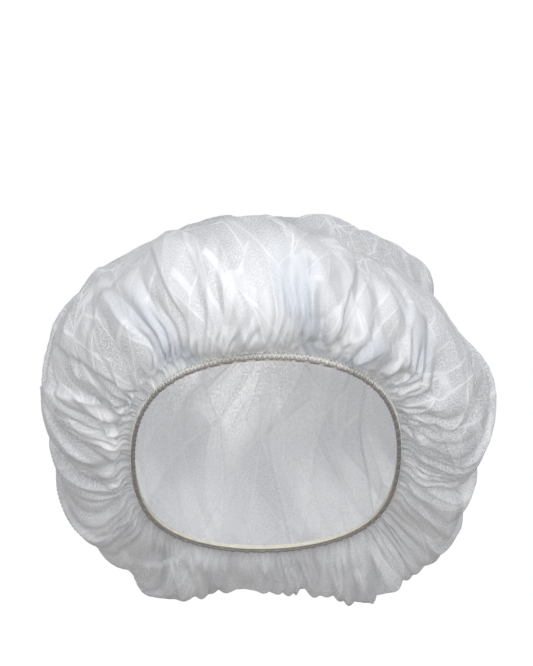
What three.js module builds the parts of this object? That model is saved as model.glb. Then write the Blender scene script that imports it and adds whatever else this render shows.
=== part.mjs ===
// A disposable bouffant hair cover, standing in the form it takes on a head: a round of thin
// nonwoven cloth gathered into a narrow folded hem, with a flat elastic loop inside the hem.
// The puffed crown is a hollow shell, open to the head at the slanted oval of the hem.
// Millimetres. +X is the wearer's left, +Y the back of the head, +Z up; the origin is the middle
// of the head opening.
import * as THREE from "three";
import { LoftGeometry } from "three/addons/geometries/LoftGeometry.js";
import { mergeGeometries, mergeVertices } from "three/addons/utils/BufferGeometryUtils.js";

// ---- Driving dimensions ----

const PIECE_GAP = 0.3; // clearance between neighbouring pieces
const CLOTH_WALL = 1.0; // modelled wall of the crown and of the folded hem

// The head opening: front, side and back points of the hem's middle line.
const OPENING = {
  frontY: -92, frontZ: 55, halfWidth: 79, sideY: -5, sideZ: -5, backY: 78, backZ: -62,
  shift: 0, square: 0.06, lean: 2,
};

const HEM_HEIGHT = 5.2; // along the axis of the opening
const HEM_LIP = 1.9; // how far the folded edges reach inwards from the hem's outer wall
const ELASTIC_THICKNESS = 1.1;

// Hoops of the crown from the hem up to the middle of the top. front, side and back are where a
// hoop crosses the middle plane and reaches its half width; shift moves it towards +X, square fills
// out its corners, and lean lifts its +X side and lowers its -X side.
const HOOPS = [
  { name: "lip", frontY: -101, frontZ: 60, halfWidth: 93,
    sideY: -3, sideZ: -11, backY: 93, backZ: -78, shift: 0, square: 0.04, lean: 1 },
  { name: "low_belly", frontY: -112, frontZ: 72, halfWidth: 117,
    sideY: 2, sideZ: -12, backY: 118, backZ: -92, shift: 1, square: 0, lean: -4 },
  { name: "belly", frontY: -115, frontZ: 88, halfWidth: 131,
    sideY: 8, sideZ: 6, backY: 142, backZ: -64, shift: 1, square: 0, lean: -4 },
  { name: "widest", frontY: -110, frontZ: 106, halfWidth: 132,
    sideY: 16, sideZ: 36, backY: 150, backZ: -14, shift: 0, square: 0, lean: -3 },
  { name: "shoulder", frontY: -93, frontZ: 123, halfWidth: 119,
    sideY: 20, sideZ: 70, backY: 146, backZ: 36, shift: -5, square: 0, lean: 0 },
  { name: "crown", frontY: -62, frontZ: 135, halfWidth: 93,
    sideY: 22, sideZ: 99, backY: 127, backZ: 79, shift: -4, square: 0, lean: 1 },
  { name: "top", frontY: -23, frontZ: 140, halfWidth: 62,
    sideY: 24, sideZ: 121, backY: 97, backZ: 110, shift: 0, square: 0, lean: 2 },
  { name: "inner_top", frontY: 6, frontZ: 140, halfWidth: 32,
    sideY: 27, sideZ: 134, backY: 63, backZ: 128, shift: 1, square: 0, lean: 1 },
  { name: "middle", frontY: 22, frontZ: 138.5, halfWidth: 7,
    sideY: 29, sideZ: 137.5, backY: 36, backZ: 136, shift: 1, square: 0, lean: 0 },
];

// Gathers: the small pleats that the elastic draws up all round the hem.
const GATHERS = 26;
const GATHER_DEPTH = 2.4;
const GATHER_PEAK = 0.07; // where along the crown, 0 at the hem and 1 at the top, they are deepest
const GATHER_END = 0.42; // where the last of them has faded

// Main folds and dents. angle is round the head, 0 at the forehead and 90 at +X; along, 0 at the hem
// and 1 at the top, is the fold's middle; spread and reach are its half widths across and along;
// depth is outwards, negative for a dent; drop lowers it.
const FOLDS = [
  { name: "left_flap", angle: -42, spread: 16, along: 0.1, reach: 0.08, depth: 3.5, drop: 3 },
  { name: "left_front_dent", angle: -66, spread: 13, along: 0.22, reach: 0.16, depth: -5, drop: 0 },
  { name: "left_lobe_step", angle: -101, spread: 16, along: 0.42, reach: 0.26, depth: -5, drop: 0 },
  { name: "left_back_lobe", angle: -124, spread: 18, along: 0.3, reach: 0.24, depth: 4, drop: 0 },
  { name: "left_top_ridge", angle: -58, spread: 14, along: 0.62, reach: 0.26, depth: 4, drop: 0 },
  { name: "front_left_ridge", angle: -22, spread: 9, along: 0.42, reach: 0.26, depth: 3.5, drop: 0 },
  { name: "front_dent", angle: -4, spread: 10, along: 0.36, reach: 0.2, depth: -3, drop: 0 },
  { name: "front_right_ridge", angle: 17, spread: 8, along: 0.44, reach: 0.28, depth: 3.5, drop: 0 },
  { name: "right_front_dent", angle: 47, spread: 12, along: 0.34, reach: 0.2, depth: -4, drop: 0 },
  { name: "right_top_ridge", angle: 66, spread: 13, along: 0.55, reach: 0.26, depth: 4, drop: 0 },
  { name: "right_lobe_step", angle: 92, spread: 15, along: 0.44, reach: 0.26, depth: -5, drop: 0 },
  { name: "right_back_lobe", angle: 118, spread: 18, along: 0.28, reach: 0.22, depth: 4, drop: 0 },
  { name: "nape_left_dent", angle: -155, spread: 13, along: 0.3, reach: 0.22, depth: -5, drop: 0 },
  { name: "nape_right_dent", angle: 158, spread: 13, along: 0.34, reach: 0.24, depth: -5, drop: 0 },
  { name: "back_ridge", angle: 180, spread: 12, along: 0.5, reach: 0.3, depth: 3, drop: 0 },
  { name: "back_left_ridge", angle: -138, spread: 11, along: 0.66, reach: 0.22, depth: 4, drop: 0 },
  { name: "back_right_ridge", angle: 136, spread: 11, along: 0.64, reach: 0.22, depth: 4, drop: 0 },
];

// Mesh density.
const CROWN_COLUMNS = GATHERS * 4;
const CROWN_ROWS = 20;
const ROW_CROWDING = 1.25; // above 1, rows crowd towards the hem
const RING_COLUMNS = 56;

// ---- Shapes ----

// The point of a hoop at an angle round the head. Along the middle plane the hoop goes through its
// front and back points, and at a quarter turn through its side point.
function hoopPoint(hoop, angle) {
  const blend = (front, side, back) => {
    const middle = (front + back) / 2;
    const once = ((front - back) / 2) * Math.cos(angle);
    const twice = ((middle - side) / 2) * Math.cos(2 * angle);
    return (middle + side) / 2 + once + twice;
  };
  const across = (Math.sin(angle) + hoop.square * Math.sin(3 * angle)) / (1 - hoop.square);
  return new THREE.Vector3(
    hoop.shift + hoop.halfWidth * across,
    blend(hoop.frontY, hoop.sideY, hoop.backY),
    blend(hoop.frontZ, hoop.sideZ, hoop.backZ) + hoop.lean * Math.sin(angle),
  );
}

const angleOf = (index, count) => (index / count) * 2 * Math.PI;

// The axis of the opening points up into the crown, square to the line from forehead to nape.
const SLOPE = { y: OPENING.backY - OPENING.frontY, z: OPENING.backZ - OPENING.frontZ };
const OPENING_AXIS = new THREE.Vector3(0, -SLOPE.z, SLOPE.y).normalize();

// A point beside the hem's middle line, so far outwards and so far up the axis of the opening.
function besideOpening(angle, out, up) {
  const step = 0.01;
  const along = hoopPoint(OPENING, angle + step).sub(hoopPoint(OPENING, angle - step));
  const outwards = new THREE.Vector3().crossVectors(along, OPENING_AXIS).normalize();
  return hoopPoint(OPENING, angle).addScaledVector(outwards, out).addScaledVector(OPENING_AXIS, up);
}

// Unit normals of a grid of rings, from the differences between neighbouring points.
function ringNormals(rings) {
  const columns = rings[0].length;
  return rings.map((ring, row) => ring.map((_, column) => {
    const before = rings[Math.max(row - 1, 0)][column];
    const after = rings[Math.min(row + 1, rings.length - 1)][column];
    const left = ring[(column + columns - 1) % columns];
    const right = ring[(column + 1) % columns];
    const round = new THREE.Vector3().subVectors(right, left);
    const upwards = new THREE.Vector3().subVectors(after, before);
    return round.cross(upwards).normalize();
  }));
}

// A smooth hump, 1 in the middle and 0 from one half width away.
function hump(distance, halfWidth) {
  const share = Math.min(Math.abs(distance) / halfWidth, 1);
  return (1 + Math.cos(Math.PI * share)) / 2;
}

// How deep the gathers are at a place along the crown: none at the hem, deepest soon above it.
function gatherDepth(along) {
  const reach = along < GATHER_PEAK ? GATHER_PEAK : GATHER_END - GATHER_PEAK;
  return GATHER_DEPTH * hump(along - GATHER_PEAK, reach);
}

// Gathers are uneven: their spacing drifts round the head.
function gatherWave(angle) {
  return Math.cos(GATHERS * angle + 0.7 * Math.sin(3 * angle + 1) + 0.5 * Math.sin(5 * angle));
}

// The rings of the crown's outer face, from the hem to the small ring at the middle of the top.
function crownRings() {
  const rimUp = HEM_HEIGHT / 2 + PIECE_GAP;
  const rings = Array.from({ length: CROWN_ROWS }, () => []);
  const alongs = rings.map((_, row) => Math.pow(row / (CROWN_ROWS - 1), ROW_CROWDING));
  for (let column = 0; column < CROWN_COLUMNS; column++) {
    const angle = angleOf(column, CROWN_COLUMNS);
    const meridian = new THREE.CatmullRomCurve3([
      besideOpening(angle, CLOTH_WALL / 2, rimUp),
      besideOpening(angle, 4, rimUp + 0.8),
      ...HOOPS.map((hoop) => hoopPoint(hoop, angle)),
    ], false, "centripetal");
    alongs.forEach((along, row) => rings[row].push(meridian.getPointAt(along)));
  }
  const normals = ringNormals(rings);
  return rings.map((ring, row) => ring.map((point, column) => {
    const angle = angleOf(column, CROWN_COLUMNS);
    const along = alongs[row];
    let depth = gatherDepth(along) * gatherWave(angle);
    let drop = 0;
    for (const fold of FOLDS) {
      const past = THREE.MathUtils.radToDeg(angle) - fold.angle;
      const turn = THREE.MathUtils.euclideanModulo(past + 180, 360) - 180;
      const share = hump(turn, fold.spread) * hump(along - fold.along, fold.reach);
      depth += fold.depth * share;
      drop += fold.drop * share;
    }
    const moved = point.clone().addScaledVector(normals[row][column], depth);
    moved.z -= drop;
    return moved;
  }));
}

// Several open surfaces whose edges meet become one closed mesh.
function joined(surfaces) {
  const positions = surfaces.map((surface) => {
    surface.deleteAttribute("normal");
    surface.deleteAttribute("uv");
    return surface;
  });
  const whole = mergeVertices(mergeGeometries(positions), 1e-4);
  whole.computeVertexNormals();
  return whole;
}

// The same surface with its faces looking the other way.
function turnedOver(surface) {
  return surface.setIndex(Array.from(surface.index.array).reverse());
}

// The crown: its outer face, the same face moved inwards by the wall, and the edge between them.
function crownGeometry() {
  const outer = crownRings();
  const normals = ringNormals(outer);
  const inner = outer.map((ring, row) => ring.map((point, column) => (
    point.clone().addScaledVector(normals[row][column], -CLOTH_WALL)
  )));
  return joined([
    new LoftGeometry(outer, { capEnd: true }),
    turnedOver(new LoftGeometry(inner, { capEnd: true })),
    new LoftGeometry([inner[0], outer[0]]),
  ]);
}

// A band whose section, given as [out, up] corners, is carried once round the opening.
function ringGeometry(corners) {
  const sections = [];
  for (let column = 0; column <= RING_COLUMNS; column++) {
    const angle = angleOf(column % RING_COLUMNS, RING_COLUMNS);
    sections.push(corners.map(([out, up]) => besideOpening(angle, out, up)));
  }
  return joined([new LoftGeometry(sections)]);
}

// The hem: cloth folded inwards over the elastic, so a channel that is open to the head.
function hemGeometry() {
  const half = HEM_HEIGHT / 2;
  const inside = half - CLOTH_WALL;
  return ringGeometry([
    [CLOTH_WALL, half],
    [CLOTH_WALL, -half],
    [-HEM_LIP, -half],
    [-HEM_LIP, -inside],
    [0, -inside],
    [0, inside],
    [-HEM_LIP, inside],
    [-HEM_LIP, half],
  ]);
}

// The elastic: a flat strip lying in the channel, clear of the cloth all round.
function elasticGeometry() {
  const half = HEM_HEIGHT / 2 - CLOTH_WALL - PIECE_GAP;
  return ringGeometry([
    [-PIECE_GAP, half],
    [-PIECE_GAP, -half],
    [-PIECE_GAP - ELASTIC_THICKNESS, -half],
    [-PIECE_GAP - ELASTIC_THICKNESS, half],
  ]);
}

// ---- Assembly ----

const cloth = new THREE.MeshStandardMaterial({
  color: "#e6e8ee",
  roughness: 0.85,
  metalness: 0,
  side: THREE.DoubleSide,
});
const hemCloth = new THREE.MeshStandardMaterial({ color: "#c9c9c6", roughness: 0.85, metalness: 0 });
const elastic = new THREE.MeshStandardMaterial({ color: "#d9d5c8", roughness: 0.6, metalness: 0 });

function named(name, geometry, material) {
  const mesh = new THREE.Mesh(geometry, material);
  mesh.name = name;
  return mesh;
}

const group = new THREE.Group();
group.name = "hair_cover_cap";
group.add(
  named("crown", crownGeometry(), cloth),
  named("hem", hemGeometry(), hemCloth),
  named("elastic_band", elasticGeometry(), elastic),
);

export default group;
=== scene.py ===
# %% [markdown]
# # A disposable bouffant hair cover
# The real cap is one round of thin spunbond cloth. Its edge is folded over a flat elastic and
# stitched, and the elastic gathers the whole round into a puffed cap. Here the cloth is one surface
# that remembers its flat cut, so folds, texture and gathers all follow the material.

# %% Load the fixed frame
import math

import bpy
import numpy as np
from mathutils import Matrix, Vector
from mathutils.geometry import delaunay_2d_cdt


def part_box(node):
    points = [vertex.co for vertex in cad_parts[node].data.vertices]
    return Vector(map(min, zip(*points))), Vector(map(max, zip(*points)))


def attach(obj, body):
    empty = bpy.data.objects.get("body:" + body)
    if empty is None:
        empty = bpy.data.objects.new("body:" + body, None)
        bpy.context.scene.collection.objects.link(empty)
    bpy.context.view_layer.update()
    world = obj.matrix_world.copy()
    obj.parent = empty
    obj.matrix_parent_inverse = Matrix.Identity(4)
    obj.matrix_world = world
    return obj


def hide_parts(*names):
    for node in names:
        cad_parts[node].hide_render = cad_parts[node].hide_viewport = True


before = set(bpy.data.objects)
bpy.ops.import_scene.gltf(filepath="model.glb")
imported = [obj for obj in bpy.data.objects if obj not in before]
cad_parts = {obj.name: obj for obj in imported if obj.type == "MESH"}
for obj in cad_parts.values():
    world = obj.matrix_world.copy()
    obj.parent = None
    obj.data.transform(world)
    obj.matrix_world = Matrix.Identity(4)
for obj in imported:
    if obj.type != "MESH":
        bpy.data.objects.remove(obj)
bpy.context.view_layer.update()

MM = 0.001
CROWN_LOW, CROWN_HIGH = (np.array(corner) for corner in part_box("crown"))
print("crown box in mm:", np.round(CROWN_LOW / MM), np.round(CROWN_HIGH / MM))

# %% [markdown]
# ## Camera and stage
# The camera stands level in front of the brow, far off, so the cap shows almost without
# perspective. A pale floor runs to a white backdrop, and the cap hangs above it in its worn form.

# %% Camera
CAMERA_DISTANCE = 3.0
FRAME_HEIGHT = 395 * MM  # how much height the picture takes in at the middle of the cap
VIEW_CENTRE = Vector((0.3 * MM, 0.0, 69 * MM))

camera_data = bpy.data.cameras.new("camera")
camera_data.sensor_width = 36
camera_data.lens = camera_data.sensor_width * CAMERA_DISTANCE / FRAME_HEIGHT
camera = bpy.data.objects.new("camera", camera_data)
camera.location = VIEW_CENTRE + Vector((0, -CAMERA_DISTANCE, 0))
camera.rotation_euler = (math.radians(90), 0, 0)
bpy.context.scene.collection.objects.link(camera)
bpy.context.scene.camera = camera
print(f"lens {camera_data.lens:.0f} mm")

# %% [markdown]
# ## Light
# Thin white cloth shows its creases only in soft light from one side. A large soft light in front
# and a little above draws them, a weaker one fills the left side, and one behind shines through the
# cloth, so that doubled panels stand out from single ones.


# %% Soft lights, a white surround and a pale floor
def soft_light(name, place, power, size, colour=(1, 1, 1)):
    """A square area light at place that looks at the middle of the cap."""
    data = bpy.data.lights.new(name, "AREA")
    data.energy = power
    data.size = size
    data.color = colour
    light = bpy.data.objects.new(name, data)
    light.location = place
    light.rotation_euler = (Vector((0, 0, 0.02)) - Vector(place)).to_track_quat("-Z", "Y").to_euler()
    bpy.context.scene.collection.objects.link(light)
    return light


KEY_POWER = 15.5
SIDE_POWER = 4.5
BACK_POWER = 5
soft_light("key_light", (0.12, -1.15, 0.42), KEY_POWER, 1.0, (0.97, 0.985, 1.0))
soft_light("side_light", (-1.5, -0.9, 0.5), SIDE_POWER, 0.8)
soft_light("back_light", (0.9, 1.8, 1.0), BACK_POWER, 1.0)

# The surround is brighter above than below, and warmer below. The camera sees it plain white.
SKY = (0.49, 0.50, 0.525, 1)
GROUND = (0.33, 0.305, 0.27, 1)
world = bpy.data.worlds.new("surround")
world.use_nodes = True
sky_nodes, sky_links = world.node_tree.nodes, world.node_tree.links
sky_nodes.clear()
sky_output = sky_nodes.new("ShaderNodeOutputWorld")
sky_mix = sky_nodes.new("ShaderNodeMixShader")
sky_light = sky_nodes.new("ShaderNodeBackground")
sky_white = sky_nodes.new("ShaderNodeBackground")
sky_white.inputs["Color"].default_value = (1, 1, 1, 1)
sky_rays = sky_nodes.new("ShaderNodeLightPath")
sky_place = sky_nodes.new("ShaderNodeTexCoord")
sky_split = sky_nodes.new("ShaderNodeSeparateXYZ")
sky_range = sky_nodes.new("ShaderNodeMapRange")
sky_range.inputs["From Min"].default_value = -1
sky_ramp = sky_nodes.new("ShaderNodeMix")
sky_ramp.data_type = "RGBA"
sky_ramp.inputs["A"].default_value = GROUND
sky_ramp.inputs["B"].default_value = SKY
sky_links.new(sky_place.outputs["Generated"], sky_split.inputs["Vector"])
sky_links.new(sky_split.outputs["Z"], sky_range.inputs["Value"])
sky_links.new(sky_range.outputs["Result"], sky_ramp.inputs["Factor"])
sky_links.new(sky_ramp.outputs["Result"], sky_light.inputs["Color"])
sky_links.new(sky_rays.outputs["Is Camera Ray"], sky_mix.inputs["Fac"])
sky_links.new(sky_light.outputs["Background"], sky_mix.inputs[1])
sky_links.new(sky_white.outputs["Background"], sky_mix.inputs[2])
sky_links.new(sky_mix.outputs["Shader"], sky_output.inputs["Surface"])
bpy.context.scene.world = world
bpy.context.scene.view_settings.view_transform = "Standard"


def put_mesh(name, points, faces, smooth=True):
    """A new mesh object at the origin from an array of points and an array of faces."""
    mesh = bpy.data.meshes.new(name)
    mesh.from_pydata(points.reshape(-1, 3).tolist(), [], faces.tolist())
    mesh.update()
    mesh.polygons.foreach_set("use_smooth", np.full(len(mesh.polygons), smooth))
    thing = bpy.data.objects.new(name, mesh)
    bpy.context.scene.collection.objects.link(thing)
    return thing


FLOOR_DROP = 0.35  # how far below the head opening the floor lies
FLOOR_HALF = 30.0
FLOOR_GLOW = 0.60  # light of the floor's own, so that it stays pale without lighting the cap
floor = put_mesh(
    "floor",
    np.array([[-1, -1, 0], [1, -1, 0], [1, 1, 0], [-1, 1, 0]]) * FLOOR_HALF - np.array([0, 0, FLOOR_DROP]),
    np.array([[0, 1, 2, 3]]),
    smooth=False,
)
floor_paint = bpy.data.materials.new("floor_paint")
floor_paint.use_nodes = True
floor_shader = floor_paint.node_tree.nodes["Principled BSDF"]
floor_shader.inputs["Base Color"].default_value = (0.93, 0.93, 0.93, 1)
floor_shader.inputs["Roughness"].default_value = 0.9
floor_shader.inputs["Emission Color"].default_value = (1, 1, 1, 1)
floor_shader.inputs["Emission Strength"].default_value = FLOOR_GLOW
floor.visible_diffuse = False
floor.visible_glossy = False
floor.visible_transmission = False
floor.data.materials.append(floor_paint)

# %% [markdown]
# ## The cap's outer form
# Three lines describe the puffed form: over the forehead, over one side and down the nape. Each
# starts at the hem and ends at the middle of the cloth, high at the back. Between them the form
# turns smoothly. Their points are shares of the crown's box, so the form follows the frame.

# %% The three lines
# y_share runs from the crown's front to its back, z_share from its bottom to its top, and x_share
# from the middle plane to its side.
FRONT_LINE = dict(
    y_share=[0.090, 0.070, 0.052, 0.017, 0.0, 0.020, 0.086, 0.203, 0.349, 0.455, 0.580, 0.714],
    z_share=[0.640, 0.655, 0.667, 0.710, 0.776, 0.856, 0.928, 0.980, 1.0, 0.998, 0.985, 0.935],
)
BACK_LINE = dict(
    y_share=[0.722, 0.745, 0.780, 0.872, 0.942, 0.978, 0.994, 0.992, 0.975, 0.903, 0.820, 0.714],
    z_share=[0.132, 0.115, 0.070, 0.010, 0.060, 0.185, 0.340, 0.465, 0.575, 0.738, 0.855, 0.935],
)
SIDE_LINE = dict(
    x_share=[0.600, 0.640, 0.700, 0.845, 0.950, 0.980, 0.885, 0.790, 0.690, 0.350, 0.170, 0.0],
    y_share=[0.412, 0.412, 0.420, 0.438, 0.460, 0.483, 0.513, 0.543, 0.587, 0.640, 0.677, 0.714],
    z_share=[0.378, 0.376, 0.352, 0.348, 0.408, 0.508, 0.624, 0.710, 0.820, 0.898, 0.930, 0.935],
)
# Left and right differ a little. For each row, shift moves the hoop towards +X, and lean lifts its
# +X side and lowers the other, both in mm.
SIDE_DRIFT = dict(
    shift=[0.0, 0.0, 1.0, 4.0, 1.0, -1.0, -6.0, -8.0, 3.0, 8.0, 7.0, 3.0],
    lean=[2.0, 1.5, 1.0, -4.0, -4.0, -3.5, -2.0, 0.0, 3.0, 5.0, 4.0, 0.0],
)
LINE_STEPS = 240
BACK_FULLNESS = 0.65  # how much fuller than a plain oval the back half is


def smooth_line(rows):
    """A Catmull-Rom curve through the rows, then points at equal steps of its length."""
    ends = np.vstack([2 * rows[0] - rows[1], rows, 2 * rows[-1] - rows[-2]])
    turn = np.linspace(0, 1, 40, endpoint=False)[None, :, None]
    before, start, stop, after = (ends[k : k + len(rows) - 1][:, None, :] for k in range(4))
    pieces = 0.5 * (
        2 * start
        + (stop - before) * turn
        + (2 * before - 5 * start + 4 * stop - after) * turn**2
        + (3 * start - before - 3 * stop + after) * turn**3
    )
    dense = np.vstack([pieces.reshape(-1, rows.shape[1]), rows[-1]])
    run = np.r_[0, np.cumsum(np.linalg.norm(np.diff(dense, axis=0), axis=1))]
    even = np.linspace(0, run[-1], LINE_STEPS)
    print(f"  line of {run[-1] / MM:.0f} mm")
    return np.stack([np.interp(even, run, dense[:, k]) for k in range(rows.shape[1])], axis=1)


def in_box(y_share, z_share, x_share=None):
    """Points from shares of the crown's box, in metres."""
    size = CROWN_HIGH - CROWN_LOW
    x = np.zeros(len(y_share)) if x_share is None else np.array(x_share) * size[0] / 2
    y = CROWN_LOW[1] + np.array(y_share) * size[1]
    z = CROWN_LOW[2] + np.array(z_share) * size[2]
    return np.stack([x, y, z], axis=1)


front_line = smooth_line(in_box(**FRONT_LINE))
back_line = smooth_line(in_box(**BACK_LINE))
drift = np.stack([SIDE_DRIFT["shift"], SIDE_DRIFT["lean"]], axis=1) * MM
side_line = smooth_line(np.hstack([in_box(**SIDE_LINE), drift]))


def cap_form(share, angle):
    """
    The smooth form. share is 0 at the middle of the cloth and 1 at the hem; angle is 0 at the
    forehead and a quarter turn at +X. A hoop goes through the front, side and back lines: its
    height and depth are a constant, a cosine and a double cosine of the angle, and its width is a
    sine, squared up a little at the hem by a triple sine. The back half is fuller: its cosine is
    pushed towards its end by the square of the cosine times the square of the sine.
    """
    place = (1 - share) * (LINE_STEPS - 1)
    full = BACK_FULLNESS * np.clip((share - 0.4) / 0.2, 0, 1) * np.clip((0.97 - share) / 0.12, 0, 1)
    cosine = np.cos(angle)
    cosine = cosine - full * (cosine < 0) * (cosine * np.sin(angle)) ** 2

    def along(line, axis):
        return np.interp(place, np.arange(LINE_STEPS), line[:, axis])

    def hoop(axis):
        front, side, back = along(front_line, axis), along(side_line, axis), along(back_line, axis)
        middle = (front + back) / 2
        return (
            (middle + side) / 2
            + (front - back) / 2 * cosine
            + (middle - side) / 2 * (2 * cosine**2 - 1)
        )

    square = 0.06 * np.clip((share - 0.85) / 0.15, 0, 1)
    across = (np.sin(angle) + square * np.sin(3 * angle)) / (1 - square)
    x = along(side_line, 0) * across + along(side_line, 3)
    z = hoop(2) + along(side_line, 4) * np.sin(angle)
    return np.stack([x, hoop(1), z], axis=-1)


def cap_normal(share, angle):
    """Outward unit normals, from small steps of the form along both of its parameters."""
    share = np.clip(share, 0.03, 0.999)
    step = 0.01
    round_step = cap_form(share, angle + step) - cap_form(share, angle - step)
    down_step = cap_form(np.minimum(share + step, 1), angle) - cap_form(share - step, angle)
    normal = np.cross(down_step, round_step)
    return normal / np.linalg.norm(normal, axis=-1, keepdims=True)


OPENING_AXIS = np.array([0, front_line[0, 2] - back_line[0, 2], back_line[0, 1] - front_line[0, 1]])
OPENING_AXIS /= np.linalg.norm(OPENING_AXIS)


def beside_hem(angle, out, up):
    """Points beside the hem's middle line: out from the head, and up the axis of the opening."""
    middle = cap_form(np.ones_like(angle), angle)
    ahead = cap_form(np.ones_like(angle), angle + 0.001) - middle
    outwards = np.cross(ahead, OPENING_AXIS)
    outwards /= np.linalg.norm(outwards, axis=-1, keepdims=True)
    return middle + outwards * np.expand_dims(out, -1) + OPENING_AXIS * np.expand_dims(up, -1)


# %% [markdown]
# ## The flat cut
# The cloth was a round disc before the elastic gathered it. A square grid is bent onto the disc
# ring by ring, which keeps its cells even and leaves no pole in the middle. The flat places become
# the cloth's UV map, in metres, and every pattern on the cloth reads that map.

# %% The disc
CUT_RADIUS = 285 * MM
GRID = 300  # cells across the disc

line = np.linspace(-1, 1, GRID + 1)
grid_x, grid_y = np.meshgrid(line, line)
reach = np.maximum(np.abs(grid_x), np.abs(grid_y))
safe = np.where(reach > 0, reach, 1)
sideways = np.abs(grid_x) >= np.abs(grid_y)
eighth = math.pi / 4
turn = np.where(
    sideways,
    np.where(grid_x >= 0, 0, math.pi) + np.sign(grid_x) * eighth * grid_y / safe,
    np.sign(grid_y) * (math.pi / 2 - eighth * grid_x / safe),
)
flat = np.stack([reach * np.cos(turn), reach * np.sin(turn)], axis=-1).reshape(-1, 2)
share = np.linalg.norm(flat, axis=1)
angle = np.arctan2(flat[:, 0], -flat[:, 1])
print(f"{len(flat)} points, flat cell {2 * CUT_RADIUS / GRID / MM:.1f} mm")

# %% [markdown]
# ## Creases and gathers
# Thin nonwoven holds sharp creases, so crumpled cloth is a patchwork of nearly flat facets. Each
# layer of crumpling scatters points over the cloth, gives each its own height, and stretches flat
# triangles between them, as in folded paper. Near the hem the points stand in crowded rows, alternately
# high and low, and make the gathers: many small pleats at the hem that join into fewer, wider ones.

# %% Facets between scattered points
random = np.random.default_rng(24)


def facet_heights(points, heights, places):
    """
    Heights at places on flat triangles through the points. Each triangle is a plane, a sum of its
    corners' heights weighted by the place's area coordinates, and it covers the places where all
    three weights are positive.
    """
    corners, _, triangles, origins, _, _ = delaunay_2d_cdt([Vector(p) for p in points], [], [], 0, 1e-9)
    corners = np.array([tuple(corner) for corner in corners])
    level = np.array([heights[origin[0]] if origin else 0.0 for origin in origins])
    found = np.zeros(len(places))
    order = np.argsort(places[:, 0])
    sorted_x = places[order, 0]
    for triangle in triangles:
        a, b, c = corners[triangle]
        first, last = np.searchsorted(sorted_x, [min(a[0], b[0], c[0]), max(a[0], b[0], c[0])])
        near = order[first:last]
        p = places[near]
        doubled = (b[0] - a[0]) * (c[1] - a[1]) - (c[0] - a[0]) * (b[1] - a[1])
        if abs(doubled) < 1e-12:
            continue
        to_b = ((p[:, 0] - a[0]) * (c[1] - a[1]) - (c[0] - a[0]) * (p[:, 1] - a[1])) / doubled
        to_c = ((b[0] - a[0]) * (p[:, 1] - a[1]) - (p[:, 0] - a[0]) * (b[1] - a[1])) / doubled
        inside = (to_b >= -1e-9) & (to_c >= -1e-9) & (to_b + to_c <= 1 + 1e-9)
        ha, hb, hc = level[triangle]
        found[near[inside]] = (ha + to_b * (hb - ha) + to_c * (hc - ha))[inside]
    return found


def scattered(count, reach, apart):
    """Random points in a disc of the given reach, keeping only those that stay apart."""
    tries = random.uniform(-reach, reach, (count * 12, 2))
    tries = tries[np.linalg.norm(tries, axis=1) < reach]
    kept = tries[:1]
    for point in tries[1:]:
        if len(kept) < count and np.min(np.linalg.norm(kept - point, axis=1)) > apart:
            kept = np.vstack([kept, point])
    return kept


# %% The gathers, in rows from the hem inwards
# share is where the row lies and count how many points it has. Pinched points stand in below the
# form by depth, and puffed points stand out by a small part of it, both in mm.
GATHER_ROWS = [
    dict(share=1.00, count=190, depth=0.8),
    dict(share=0.975, count=160, depth=4.2),
    dict(share=0.93, count=116, depth=5.8),
    dict(share=0.87, count=82, depth=6.6),
    dict(share=0.79, count=56, depth=7.0),
    dict(share=0.69, count=38, depth=7.0),
    dict(share=0.57, count=26, depth=6.5),
    dict(share=0.44, count=18, depth=5.5),
    dict(share=0.30, count=11, depth=4.0),
    dict(share=0.14, count=5, depth=1.5),
]
PUFF = 0.3  # how far puffed points stand out, as part of the depth


def gather_points():
    """Rows of points over angle and share, alternately high and low, with uneven steps."""
    rows = []
    for number, row in enumerate(GATHER_ROWS):
        steps = np.arange(row["count"])
        around = (steps + random.uniform(-0.36, 0.36, row["count"])) * 2 * math.pi / row["count"]
        gap = 0.012 + 0.1 * (1 - row["share"])
        down = row["share"] + random.uniform(-gap, gap, row["count"]) * (number > 0)
        puffed = random.uniform(0.0, PUFF, row["count"])
        pinched = random.uniform(-1.0, -0.15, row["count"])
        height = row["depth"] * np.where(steps % 2 == 0, puffed, pinched)
        rows.append(np.stack([around, down, height], axis=1))
    whole = np.vstack(rows)
    turns = [whole + np.array([k * 2 * math.pi, 0, 0]) for k in (-1, 0, 1)]
    near = np.vstack(turns)
    near = near[(near[:, 0] > -math.pi - 0.6) & (near[:, 0] < math.pi + 0.6)]
    return near


gathers = gather_points()
gather_height = facet_heights(gathers[:, :2], gathers[:, 2], np.stack([angle, share], axis=1))
print(f"{len(gathers)} gather points, heights to {np.abs(gather_height).max():.1f} mm")

# %% Crumples over the whole cloth
# Each layer has up to count points, none closer than apart, which is a share of the cut's radius.
# depth is in mm.
CRUMPLES = [
    dict(count=34, apart=0.26, depth=6.0),
    dict(count=120, apart=0.13, depth=3.4),
    dict(count=420, apart=0.066, depth=1.2),
]
crumple_height = np.zeros(len(flat))
for layer in CRUMPLES:
    points = scattered(layer["count"], 1.15, layer["apart"])
    heights = random.uniform(-1, 1, len(points)) * layer["depth"]
    part = facet_heights(points, heights, flat)
    crumple_height += part
    print(f"layer of {len(points)} points, heights to {np.abs(part).max():.1f} mm")

# %% [markdown]
# ### Ripples and long folds
# Between the gathers the cloth makes fine ripples, and where a handful of it falls over itself it
# makes a long fold, sharp where the cloth tucks under. They could be sculpted by hand. Short tables
# of waves and ridges do the same work, and each fold can be found and changed by its place.

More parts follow.
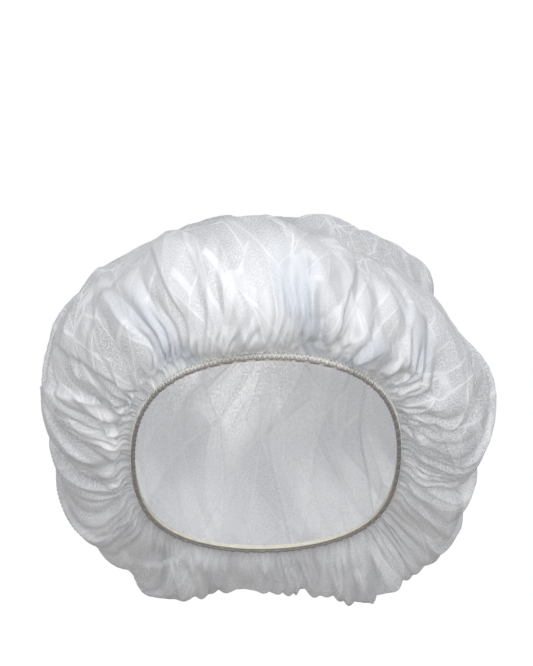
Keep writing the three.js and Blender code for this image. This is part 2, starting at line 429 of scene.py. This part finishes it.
# %% Fine ripples near the hem
# Each row of ripples is strongest at its share and fades over its width. Towards the top of the cap
# they merge into fewer and deeper ones. Depth is in mm.
RIPPLES = [
    dict(share=0.975, width=0.028, count=152, depth=1.0),
    dict(share=0.93, width=0.038, count=106, depth=1.9),
    dict(share=0.86, width=0.055, count=68, depth=2.2),
    dict(share=0.76, width=0.080, count=42, depth=2.0),
]


def ripple_heights():
    """
    The sum of the rows. Each is the size of a sine, so it is round outside and sharp in the pinches,
    and a slow wave of the angle and share makes its steps uneven and a little slanted.
    """
    slow = (
        1.1 * np.sin(4 * angle + 7 * share + 1)
        + 0.8 * np.sin(9 * angle - 11 * share + 2)
        + 0.5 * np.sin(17 * angle + 5 * share)
    )
    total = np.zeros_like(share)
    for row in RIPPLES:
        strength = np.exp(-(((share - row["share"]) / row["width"]) ** 2))
        wave = 2 * np.abs(np.sin((row["count"] * angle + row["count"] / 18 * slow) / 2)) - 1.2
        total += row["depth"] * strength * wave
    return total


ripple_height = ripple_heights()

# %% Long folds
# Each fold is a straight ridge on the flat cut. from_angle and to_angle are in degrees round the
# hem, 0 at the forehead and 90 at +X; a fold runs from its place near the hem up to its other end.
# One side of the ridge drops at once, where the cloth tucks under, and the other eases away. A
# negative turn puts the sharp side on the other hand.
LONG_FOLDS = [
    dict(from_angle=-50, from_share=0.985, to_angle=-78, to_share=0.62, height=5.0, turn=1),
    dict(from_angle=-38, from_share=0.97, to_angle=-60, to_share=0.48, height=4.0, turn=-1),
    dict(from_angle=-66, from_share=0.95, to_angle=-56, to_share=0.52, height=4.0, turn=1),
    dict(from_angle=-62, from_share=0.93, to_angle=-96, to_share=0.66, height=5.0, turn=-1),
    dict(from_angle=-24, from_share=0.96, to_angle=-34, to_share=0.50, height=3.0, turn=1),
    dict(from_angle=-6, from_share=0.96, to_angle=-16, to_share=0.55, height=2.5, turn=-1),
    dict(from_angle=12, from_share=0.95, to_angle=4, to_share=0.50, height=3.0, turn=1),
    dict(from_angle=18, from_share=0.95, to_angle=34, to_share=0.52, height=3.5, turn=-1),
    dict(from_angle=42, from_share=0.95, to_angle=50, to_share=0.40, height=3.5, turn=1),
    dict(from_angle=70, from_share=0.90, to_angle=52, to_share=0.42, height=4.5, turn=-1),
    dict(from_angle=84, from_share=0.88, to_angle=66, to_share=0.46, height=4.5, turn=1),
    dict(from_angle=98, from_share=0.84, to_angle=78, to_share=0.40, height=5.0, turn=-1),
    dict(from_angle=-88, from_share=0.90, to_angle=-70, to_share=0.40, height=4.0, turn=-1),
    dict(from_angle=10, from_share=0.42, to_angle=46, to_share=0.34, height=3.5, turn=1),
    dict(from_angle=-10, from_share=0.40, to_angle=-52, to_share=0.36, height=3.5, turn=-1),
    dict(from_angle=120, from_share=0.90, to_angle=108, to_share=0.45, height=5.0, turn=1),
    dict(from_angle=-118, from_share=0.90, to_angle=-104, to_share=0.42, height=5.0, turn=-1),
    dict(from_angle=150, from_share=0.92, to_angle=136, to_share=0.40, height=5.0, turn=1),
    dict(from_angle=-146, from_share=0.92, to_angle=-132, to_share=0.45, height=5.0, turn=-1),
    dict(from_angle=172, from_share=0.93, to_angle=178, to_share=0.38, height=4.5, turn=1),
]
# Where the front puff ends, it overlaps the back puff and the cloth dives in beneath it.
TUCKS = [
    dict(from_angle=-99, from_share=0.93, to_angle=-103, to_share=0.40, height=-9.0, turn=1),
    dict(from_angle=99, from_share=0.93, to_angle=102, to_share=0.38, height=-11.0, turn=-1),
]
SHARP_SIDE = 0.014  # width of the tucked side, as a share of the cut's radius
SOFT_SIDE = 0.075


def fold_heights():
    """
    Heights of all the long folds together. A fold's height falls off as an exponential of the
    distance to its line on the soft side and as a straight ramp on the sharp side, and it fades
    towards both of its ends.
    """
    raised, sunken = np.zeros_like(share), np.zeros_like(share)
    for fold in LONG_FOLDS + TUCKS:
        start, stop = math.radians(fold["from_angle"]), math.radians(fold["to_angle"])
        first = fold["from_share"] * np.array([math.sin(start), -math.cos(start)])
        last = fold["to_share"] * np.array([math.sin(stop), -math.cos(stop)])
        length = np.linalg.norm(last - first)
        along = (last - first) / length
        run = (flat - first) @ along / length
        beside = (flat - first) @ np.array([along[1], -along[0]]) * fold["turn"]
        soft = np.exp(-np.maximum(beside, 0) / SOFT_SIDE)
        sharp = np.clip(1 + beside / SHARP_SIDE, 0, 1)
        ends = np.sqrt(np.clip(run / 0.12, 0, 1) * np.clip((1 - run) / 0.5, 0, 1))
        part = fold["height"] * ends * soft * sharp
        raised, sunken = np.maximum(raised, part), np.minimum(sunken, part)
    return raised + sunken


fold_height = fold_heights()

# %% [markdown]
# ### Putting the heights on the form
# The heights are laid along the form's own normals. They are calmed at the back, which is fuller and
# rounder, and at the hem, where the stitches hold the cloth. Last, the edge is seated on the hem.

# %% The crown
SEAT_OUT = 1.0 * MM  # the gathered cloth comes down over the outer top edge of the hem
SEAT_UP = 1.5 * MM
FLAP_ANGLE = -47  # degrees round the hem, as for the folds
FLAP_SHARP = 2.2  # degrees over which the flap's sharp end fades, and its easy end below
FLAP_EASY = 12
FLAP_OUT = 1.2 * MM
FLAP_DROP = 4.2 * MM
calm = np.clip((1 - share) / 0.06, 0, 1)


def softened(field, passes):
    """The field with each point blended with its neighbours on the grid, several times over."""
    square = field.reshape(GRID + 1, GRID + 1)
    for _ in range(passes):
        wide = np.pad(square, 1, mode="edge")
        square = (wide[:-2, 1:-1] + wide[2:, 1:-1] + wide[1:-1, :-2] + wide[1:-1, 2:]) / 4
    return square.ravel()


# The back puff is fuller and rounder than the front, so its gathers are shallower and softer there.
back = np.clip(0.35 - np.cos(angle), 0, 1) * np.clip((share - 0.25) / 0.3, 0, 1)
rounded = softened(gather_height, 10)
height = (1 - back) * gather_height + back * 0.62 * rounded
brow = np.clip(np.cos(angle) * 2.2 - 1.0, 0, 1) * np.clip((share - 0.42) / 0.25, 0, 1)
beside = np.sin(angle) ** 4 * np.clip((0.95 - share) / 0.1, 0, 1)
height = height * (1 - 0.5 * beside - 0.35 * brow)
height += ripple_height * (1 - 0.45 * back) * (1 - 0.6 * beside - 0.3 * brow)
height += (crumple_height + fold_height) * calm
height *= MM
crown_points = cap_form(share, angle) + cap_normal(share, angle) * height[:, None]
seat = np.clip((share - 0.93) / 0.07, 0, 1) ** 2
# At one place a fold falls over the hem as a small flap, with a sharp end and a long easy one.
past_flap = np.degrees(angle) - FLAP_ANGLE
droop = np.exp(-((past_flap / np.where(past_flap < 0, FLAP_SHARP, FLAP_EASY)) ** 2))
on_hem = beside_hem(angle, SEAT_OUT + FLAP_OUT * droop, SEAT_UP - FLAP_DROP * droop)
crown_points += (on_hem - cap_form(np.ones_like(share), angle)) * seat[:, None]

number = np.arange((GRID + 1) ** 2).reshape(GRID + 1, GRID + 1)
cell_corners = [number[:-1, :-1], number[:-1, 1:], number[1:, 1:], number[1:, :-1]]
cells = np.stack(cell_corners, axis=-1).reshape(-1, 4)
crown = put_mesh("cap_crown", crown_points, cells)
cut_map = crown.data.uv_layers.new(name="flat_cut")
corner_points = np.empty(len(crown.data.loops), dtype=np.int32)
crown.data.loops.foreach_get("vertex_index", corner_points)
cut_map.data.foreach_set("uv", (flat[corner_points] * CUT_RADIUS).ravel())
low, high = crown_points.min(0), crown_points.max(0)
quads = crown_points[cells]
across, along = quads[:, 2] - quads[:, 0], quads[:, 3] - quads[:, 1]
cloth_area = np.linalg.norm(np.cross(across, along), axis=1).sum() / 2
print(f"cloth area {cloth_area / (math.pi * CUT_RADIUS**2):.2f} of the flat cut's")
print("crown mesh box in mm:", np.round(low / MM), np.round(high / MM))


# %% [markdown]
# ### What the creases and gathers do to the cloth's look
# A crease whitens thin nonwoven, and pleats lie two or three cloths deep, so both are less clear
# than the open cloth. The material reads these numbers from each point: how sharply the cloth is
# creased there, how near it is to the hem, whether it is over the forehead, on the back puff or on
# a long fold, and three maps on which long pleats fan out from the hem, straight or slanted.

# %% Numbers for the material
def edge_sharpness(field):
    """How far each height stands off the mean of its four neighbours on the grid, in mm."""
    wide = np.pad(field.reshape(GRID + 1, GRID + 1), 1, mode="edge")
    mean = (wide[:-2, 1:-1] + wide[2:, 1:-1] + wide[1:-1, :-2] + wide[1:-1, 2:]) / 4
    return (wide[1:-1, 1:-1] - mean).ravel()


def store(mesh, name, values):
    """Keep one number, or one vector of three, for each point of a mesh."""
    kind = "FLOAT" if values.ndim == 1 else "FLOAT_VECTOR"
    attribute = mesh.attributes.new(name, kind, "POINT")
    attribute.data.foreach_set("value" if values.ndim == 1 else "vector", values.ravel().astype(np.float32))


crease = np.abs(edge_sharpness(height / MM))
crease = np.clip(crease / 0.35, 0, 1) * np.clip((1 - share) / 0.04, 0, 1)
store(crown.data, "crease", crease)
store(crown.data, "nearness", share)
POLE_CALM = 0.5  # keeps the pleats wide near the middle of the cloth
FAN_LENGTH = 0.2  # the smaller, the longer the pleats
fans = {"fan_straight": 0.0, "fan_left": -1.0, "fan_right": 0.9}
rays = flat / np.sqrt(share**2 + POLE_CALM**2)[:, None]
for name, slant in fans.items():
    twist = slant * share
    across = rays[:, 0] * np.cos(twist) - rays[:, 1] * np.sin(twist)
    ahead = rays[:, 0] * np.sin(twist) + rays[:, 1] * np.cos(twist)
    store(crown.data, name, np.stack([across, ahead, share * FAN_LENGTH], axis=1))
store(crown.data, "brow", brow)
store(crown.data, "back", back)
store(crown.data, "folded", np.clip(fold_height / 4, 0, 1) * calm)
print(f"creased share of the cloth: {np.mean(crease > 0.3):.2f}")


# %% [markdown]
# ## The cloth
# Spunbond nonwoven is a thin web of fine white fibres, pressed together at small dots. It hides only
# part of what is behind it: the fibres scatter light back and let some through, and the gaps between
# them are clear. So the material mixes a clear surface with a white one that both reflects and
# glows through, and a cover value says how much of the surface is fibre.

# %% Short ways to build a material
class Nodes:
    """A material's node tree, with one call for a node, its settings and what feeds its sockets."""

    def __init__(self, name):
        self.material = bpy.data.materials.new(name)
        self.material.use_nodes = True
        self.tree = self.material.node_tree
        self.tree.nodes.clear()

    def add(self, kind, settings=None, **feeds):
        """Make a node; a feed is a value or another node's output, and its name is the socket's."""
        node = self.tree.nodes.new("ShaderNode" + kind)
        for key, value in (settings or {}).items():
            setattr(node, key, value)
        for key, feed in feeds.items():
            socket = node.inputs[int(key[1:])] if key[1:].isdigit() else node.inputs[key.replace("_", " ")]
            if isinstance(feed, bpy.types.NodeSocket):
                self.tree.links.new(feed, socket)
            else:
                socket.default_value = feed
        return node

    def math(self, work, first, second=0.0):
        """One sum of two numbers or outputs."""
        return self.add("Math", dict(operation=work), i0=first, i1=second).outputs[0]

    def spread(self, value, low, high, to_low, to_high):
        """Map low..high onto to_low..to_high, and hold at the ends."""
        ends = dict(From_Min=low, From_Max=high, To_Min=to_low, To_Max=to_high)
        node = self.add("MapRange", None, Value=value, **ends)
        return node.outputs["Result"]

    def finish(self, surface):
        """Join the surface to the output and hand the material over."""
        self.add("OutputMaterial", None, Surface=surface)
        return self.material


def attribute(nodes, name, output="Fac"):
    """The output of a node that reads one of the numbers stored on the mesh."""
    return nodes.add("Attribute", dict(attribute_name=name)).outputs[output]


# %% The cap's cloth
# A layer of pleats is a patchwork of long cells that fan out from the hem. Each cell lies at its
# own small tilt, some lie double, and the edges between cells are creased. fans is the map it is
# drawn on, scale its number of cells to a unit of that map.
PLEAT_LAYERS = [
    dict(fans="fan_straight", scale=8.5, tilt=0.16, double=0.20, line=0.85),
    dict(fans="fan_left", scale=6.0, tilt=0.20, double=0.26, line=1.0),
    dict(fans="fan_right", scale=7.0, tilt=0.18, double=0.24, line=1.0),
]
FIBRE_SCALE = 720.0  # clumps of fibre a metre
DOT_SCALE = 780.0  # bond dots a metre


def cap_cloth():
    """White web whose cover rises on creases, in folded panels and towards the hem."""
    n = Nodes("cap_cloth")
    cut = n.add("UVMap", dict(uv_map="flat_cut")).outputs["UV"]
    crease_here = attribute(n, "crease")
    near_hem = attribute(n, "nearness")
    brow_here = attribute(n, "brow")
    back_here = attribute(n, "back")
    plainer = n.spread(back_here, 0.0, 1.0, 1.0, 0.6)
    folded = attribute(n, "folded")

    fibres = n.add("TexNoise", None, Vector=cut, Scale=FIBRE_SCALE, Detail=2.0, Roughness=0.6)
    clumps = fibres.outputs["Fac"]
    bonds = n.add("TexVoronoi", dict(feature="F1"), Vector=cut, Scale=DOT_SCALE, Randomness=0.7)
    dots = bonds.outputs["Distance"]
    cloudy = n.add("TexNoise", None, Vector=cut, Scale=24.0, Detail=2.0).outputs["Fac"]
    wide_patches = n.add("TexNoise", None, Vector=cut, Scale=9.0, Detail=1.0).outputs["Fac"]

    # Creases and doubled panels: first those of the shape itself, then those of the pleat layers.
    lines = n.math("MULTIPLY", crease_here, 0.35)
    doubled = n.math("MULTIPLY", folded, 0.16)
    lean = None
    for layer in PLEAT_LAYERS:
        place = attribute(n, layer["fans"], "Vector")
        feeds = dict(Vector=place, Scale=layer["scale"])
        edge = n.add("TexVoronoi", dict(feature="DISTANCE_TO_EDGE"), **feeds).outputs["Distance"]
        cell = n.add("TexVoronoi", dict(feature="F1"), **feeds).outputs["Color"]
        shown = n.add("TexNoise", None, Vector=place, Scale=layer["scale"] * 1.2, Detail=1.0).outputs["Fac"]
        crisp_shown = n.spread(shown, 0.40, 0.48, 0.0, 1.0)
        crisp = n.math("MULTIPLY", n.spread(edge, 0.014, 0.030, 1.0, 0.0), crisp_shown)
        broad_shown = n.spread(shown, 0.38, 0.62, 0.0, 0.42)
        broad = n.math("MULTIPLY", n.spread(edge, 0.02, 0.22, 1.0, 0.0), broad_shown)
        strength = n.math("MULTIPLY", plainer, layer["line"])
        both = n.math("MULTIPLY", n.math("MAXIMUM", crisp, broad), strength)
        lines = n.math("MAXIMUM", lines, both)
        panel = n.math("MULTIPLY", n.spread(cell, 0.35, 0.75, 0.0, layer["double"]), plainer)
        doubled = n.math("ADD", doubled, panel)
        centred = n.add("VectorMath", dict(operation="SUBTRACT"), i0=cell, i1=(0.5, 0.5, 0.5)).outputs[0]
        tilted = n.add("VectorMath", dict(operation="SCALE"), i0=centred, Scale=layer["tilt"]).outputs[0]
        lean = tilted if lean is None else n.add("VectorMath", None, i0=lean, i1=tilted).outputs[0]

    # Cloth is denser over the brow, at the back and at the hem. What is left is a web with gaps,
    # more open in some patches, with its bond dots closed.
    doubled = n.math("ADD", doubled, n.math("MULTIPLY", brow_here, 0.4))
    doubled = n.math("ADD", doubled, n.math("MULTIPLY", back_here, 0.42))
    doubled = n.math("ADD", doubled, n.spread(near_hem, 0.84, 1.0, 0.0, 0.22))
    doubled = n.math("ADD", doubled, n.spread(wide_patches, 0.4, 0.6, -0.08, 0.12))
    opener = n.spread(wide_patches, 0.46, 0.54, 0.34, 0.0)
    web = n.math("SUBTRACT", n.spread(clumps, 0.40, 0.58, 0.38, 0.88), opener)
    web = n.math("ADD", web, n.spread(dots, 0.12, 0.42, 0.30, 0.0))
    web = n.add("Clamp", None, Value=web).outputs[0]
    fill = n.math("ADD", doubled, n.math("MULTIPLY", lines, 0.42))
    open_part = n.math("SUBTRACT", 1.0, n.add("Clamp", None, Value=fill, Min=0.0, Max=0.92).outputs[0])
    gaps = n.math("MULTIPLY", n.math("SUBTRACT", 1.0, web), open_part)
    cover = n.math("SUBTRACT", 1.0, gaps)

    # Relief and tilt turn the light a little differently on each panel.
    relief = n.math("ADD", clumps, n.math("MULTIPLY", lines, 0.7))
    relief = n.math("ADD", relief, n.math("MULTIPLY", cloudy, 0.5))
    bumped = n.add("Bump", None, Strength=0.4, Distance=0.0006, Height=relief).outputs["Normal"]
    leaning = n.add("VectorMath", None, i0=bumped, i1=lean).outputs[0]
    bump = n.add("VectorMath", dict(operation="NORMALIZE"), i0=leaning).outputs[0]
    # Thick fibre is whiter than thin. Over the brow the colour is painted brighter, a painted light, and
    # towards the hem in front some patches are painted a bluish grey, a painted shade.
    thick = n.math("MAXIMUM", lines, n.spread(clumps, 0.42, 0.66, 0.0, 0.7))
    mix = n.add("Mix", dict(data_type="RGBA"), Factor=n.add("Clamp", None, Value=thick).outputs[0])
    mix.inputs["A"].default_value = (0.72, 0.735, 0.765, 1)
    mix.inputs["B"].default_value = (0.96, 0.965, 0.975, 1)
    # Painted light: over the brow the cloth's colour is lifted towards white.
    brow_painted_light = n.add("Mix", dict(data_type="RGBA"), Factor=n.math("MULTIPLY", brow_here, 0.35))
    n.tree.links.new(mix.outputs["Result"], brow_painted_light.inputs["A"])
    brow_painted_light.inputs["B"].default_value = (0.96, 0.965, 0.98, 1)
    # Painted shade: patches over the brow and towards the hem are tinted a bluish grey.
    painted_blue_shade = n.spread(wide_patches, 0.50, 0.58, 0.0, 0.6)
    painted_blue_shade = n.math("MULTIPLY", painted_blue_shade, n.spread(brow_here, 0.0, 0.5, 0.0, 1.0))
    painted_blue_shade = n.math("MULTIPLY", painted_blue_shade, n.spread(near_hem, 0.68, 0.8, 0.0, 1.0))
    blue_shade_mix = n.add("Mix", dict(data_type="RGBA"), Factor=painted_blue_shade)
    n.tree.links.new(brow_painted_light.outputs["Result"], blue_shade_mix.inputs["A"])
    blue_shade_mix.inputs["B"].default_value = (0.64, 0.69, 0.76, 1)
    colour = blue_shade_mix.outputs["Result"]

    front = n.add("BsdfPrincipled", None, Base_Color=colour, Roughness=0.5, Normal=bump)
    front.inputs["Specular IOR Level"].default_value = 0.35
    glow = n.add("BsdfTranslucent", None, Color=colour, Normal=bump)
    body = n.add("MixShader", None, Fac=0.36, i1=front.outputs[0], i2=glow.outputs[0])
    clear = n.add("BsdfTransparent")
    whole = n.add("MixShader", None, Fac=cover, i1=clear.outputs[0], i2=body.outputs[0])
    return n.finish(whole.outputs[0])


crown.data.materials.append(cap_cloth())
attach(crown, "root")
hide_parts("crown")

# %% [markdown]
# ## The hem
# The edge of the round is folded in over the elastic, so the hem is a narrow channel, open a little
# towards the head. Its section is a thick letter C carried round the opening. The elastic gathers
# it too, so it is puckered: its wall ripples in and out, and its edges wave.

# %% A section carried round the opening
HEM_HALF = 2.2 * MM
HEM_WALL = 0.55 * MM
HEM_DEPTH = 1.9 * MM
PUCKERS = 148


def squared(wave):
    """A wave with fuller shoulders: its size to a power below 1, with its own sign."""
    return np.sign(wave) * np.abs(wave) ** 0.55


def c_section(count):
    """
    The C's outline as (out, up) points. Its middle line runs from one lip, round the outer wall and
    to the other lip as half of a squared oval, and the outline is that line moved out by half the
    wall and back by half the wall.
    """
    turn = np.linspace(-1.0, 1.0, count) * math.radians(128)
    out = -0.5 * HEM_DEPTH + 0.5 * HEM_DEPTH * squared(np.cos(turn)) * 1.25
    up = (HEM_HALF - HEM_WALL / 2) * squared(np.sin(turn))
    line = np.stack([out, up], axis=1)
    along = np.gradient(line, axis=0)
    along /= np.linalg.norm(along, axis=1, keepdims=True)
    sideways = np.stack([along[:, 1], -along[:, 0]], axis=1) * HEM_WALL / 2
    return np.vstack([line + sideways, (line - sideways)[::-1]])


def ring_mesh(name, points):
    """A closed band from a grid of points: round the opening first, and round the section second."""
    rounds, section = points.shape[:2]
    number = np.arange(rounds * section).reshape(rounds, section)
    ahead, beside = np.roll(number, -1, axis=0), np.roll(number, -1, axis=1)
    both = np.roll(ahead, -1, axis=1)
    return put_mesh(name, points, np.stack([number, beside, both, ahead], axis=-1).reshape(-1, 4))


HEM_ROUND = 1600
section = c_section(13)
hem_angle = np.linspace(0, 2 * math.pi, HEM_ROUND, endpoint=False)[:, None]
drift_wave = 0.8 * np.sin(3 * hem_angle + 1) + 0.6 * np.sin(7 * hem_angle)
pucker = np.sin(PUCKERS * hem_angle + 3 * drift_wave)
fine_pucker = np.sin(341 * hem_angle + 5 * np.sin(4 * hem_angle))
out = section[None, :, 0] + (0.22 * pucker + 0.1 * fine_pucker) * MM
up = section[None, :, 1] * (1 + 0.07 * np.sin(PUCKERS * hem_angle + 3 * drift_wave + 1.2))
up = up + (0.16 * np.sin(PUCKERS / 2 * hem_angle + 2) + 0.12 * np.sin(61 * hem_angle)) * MM
hem = ring_mesh("cap_hem", beside_hem(np.broadcast_to(hem_angle, out.shape), out, up))
store(hem.data, "ups", np.broadcast_to(section[None, :, 1] / HEM_HALF, out.shape).ravel().copy())
print(f"hem of {len(hem.data.polygons)} faces")


# %% [markdown]
# ## Stitches and finishes
# A zigzag stitch closes the fold over the elastic and can still stretch with it. It is a fine tube
# along a wave, and not a drawn pattern, because real thread stands off the cloth and has an edge.
# The elastic keeps the shape that it has in the frame, and only gets its finish here.

# %% The stitches over the hem
THREAD_RADIUS = 0.17 * MM
ZIGZAGS = 236
THREAD_STEPS = 8  # points a zigzag
THREAD_SIDES = 6


def zigzag_thread(name, stand_out, reach, phase):
    """
    A thread that crosses the hem's face to and fro. Its middle line rises and falls as a clipped
    triangle wave, stands off the face by its own radius, and dips in where it enters the cloth.
    """
    steps = ZIGZAGS * THREAD_STEPS
    a = np.linspace(0, 2 * math.pi, steps, endpoint=False)
    wave = 2 / math.pi * np.arcsin(np.sin(ZIGZAGS * a + phase))
    ups = reach * np.clip(1.25 * wave, -1, 1)
    outs = stand_out - 0.35 * MM * np.abs(wave) ** 4
    line = beside_hem(a, outs, ups)
    along = np.roll(line, -1, axis=0) - np.roll(line, 1, axis=0)
    along /= np.linalg.norm(along, axis=1, keepdims=True)
    side = np.cross(along, OPENING_AXIS)
    side /= np.linalg.norm(side, axis=1, keepdims=True)
    other = np.cross(along, side)
    t = np.linspace(0, 2 * math.pi, THREAD_SIDES, endpoint=False)[None, :, None]
    tube = line[:, None, :] + THREAD_RADIUS * (np.cos(t) * side[:, None, :] + np.sin(t) * other[:, None, :])
    return ring_mesh(name, tube)


outer_thread = zigzag_thread("stitch_thread", 0.75 * MM, 1.75 * MM, 0.0)


# %% Hem, thread and elastic finishes
# The hem's colours from its lower lip to its upper edge: a painted shade, dark and greyish, below; cream
# where the layers are thickest; and a painted olive-grey shadow under the edge of the crown.
HEM_TONES_AND_PAINTED_SHADOWS = [
    (0.00, (0.36, 0.34, 0.35)),
    (0.28, (0.44, 0.42, 0.41)),
    (0.48, (0.78, 0.77, 0.71)),
    (0.66, (0.62, 0.61, 0.55)),
    (0.84, (0.38, 0.38, 0.32)),
    (1.00, (0.55, 0.55, 0.52)),
]


def hem_cloth():
    """Folded cloth, several layers deep and so nearly opaque, with puckers a little dark between."""
    n = Nodes("hem_cloth")
    here = n.add("TexCoord").outputs["Object"]
    clumps = n.add("TexNoise", None, Vector=here, Scale=1400.0, Detail=3.0).outputs["Fac"]
    patches = n.add("TexNoise", None, Vector=here, Scale=160.0, Detail=2.0).outputs["Fac"]
    level = n.spread(attribute(n, "ups"), -1.0, 1.0, 0.0, 1.0)
    level = n.math("ADD", level, n.spread(patches, 0.3, 0.7, -0.12, 0.12))
    # The ramp paints shade at the lower lip and a shadow under the crown's edge into the hem's colour.
    shade = n.add("ValToRGB")
    ramp = shade.color_ramp
    ramp.elements.remove(ramp.elements[0])
    ramp.elements[0].position = HEM_TONES_AND_PAINTED_SHADOWS[0][0]
    ramp.elements[0].color = (*HEM_TONES_AND_PAINTED_SHADOWS[0][1], 1)
    for position, colour in HEM_TONES_AND_PAINTED_SHADOWS[1:]:
        ramp.elements.new(position).color = (*colour, 1)
    n.tree.links.new(level, shade.inputs["Fac"])
    bump = n.add("Bump", None, Strength=0.5, Distance=0.0004, Height=clumps).outputs["Normal"]
    front = n.add("BsdfPrincipled", None, Base_Color=shade.outputs["Color"], Roughness=0.6, Normal=bump)
    glow = n.add("BsdfTranslucent", None, Color=(0.55, 0.55, 0.53, 1), Normal=bump)
    body = n.add("MixShader", None, Fac=0.2, i1=front.outputs[0], i2=glow.outputs[0])
    clear = n.add("BsdfTransparent")
    cover = n.spread(clumps, 0.35, 0.6, 0.86, 0.98)
    whole = n.add("MixShader", None, Fac=cover, i1=clear.outputs[0], i2=body.outputs[0])
    return n.finish(whole.outputs[0])


def plain_thread():
    """Spun white polyester, with a fine twist."""
    n = Nodes("white_thread")
    here = n.add("TexCoord").outputs["Object"]
    twist = n.add("TexNoise", None, Vector=here, Scale=3000.0, Detail=1.0).outputs["Fac"]
    bump = n.add("Bump", None, Strength=0.4, Distance=0.0002, Height=twist).outputs["Normal"]
    front = n.add("BsdfPrincipled", None, Base_Color=(0.86, 0.85, 0.80, 1), Roughness=0.45, Normal=bump)
    return n.finish(front.outputs[0])


def elastic_strip():
    """Off-white covered elastic with fine ribs along its length."""
    n = Nodes("elastic_strip")
    here = n.add("TexCoord").outputs["Object"]
    ribs = n.add("TexNoise", None, Vector=here, Scale=2600.0, Detail=2.0).outputs["Fac"]
    tone = n.add("TexNoise", None, Vector=here, Scale=300.0, Detail=2.0).outputs["Fac"]
    shade = n.add("ValToRGB")
    shade.color_ramp.elements[0].color = (0.60, 0.57, 0.48, 1)
    shade.color_ramp.elements[1].color = (0.78, 0.75, 0.66, 1)
    n.tree.links.new(tone, shade.inputs["Fac"])
    bump = n.add("Bump", None, Strength=0.4, Distance=0.0003, Height=ribs).outputs["Normal"]
    front = n.add("BsdfPrincipled", None, Base_Color=shade.outputs["Color"], Roughness=0.55, Normal=bump)
    return n.finish(front.outputs[0])


hem.data.materials.append(hem_cloth())
outer_thread.data.materials.append(plain_thread())
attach(hem, "root")
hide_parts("hem")
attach(outer_thread, "root")
elastic = bpy.data.objects["elastic_band"]
strip = elastic_strip()
for place in range(len(elastic.material_slots)):
    elastic.material_slots[place].material = strip
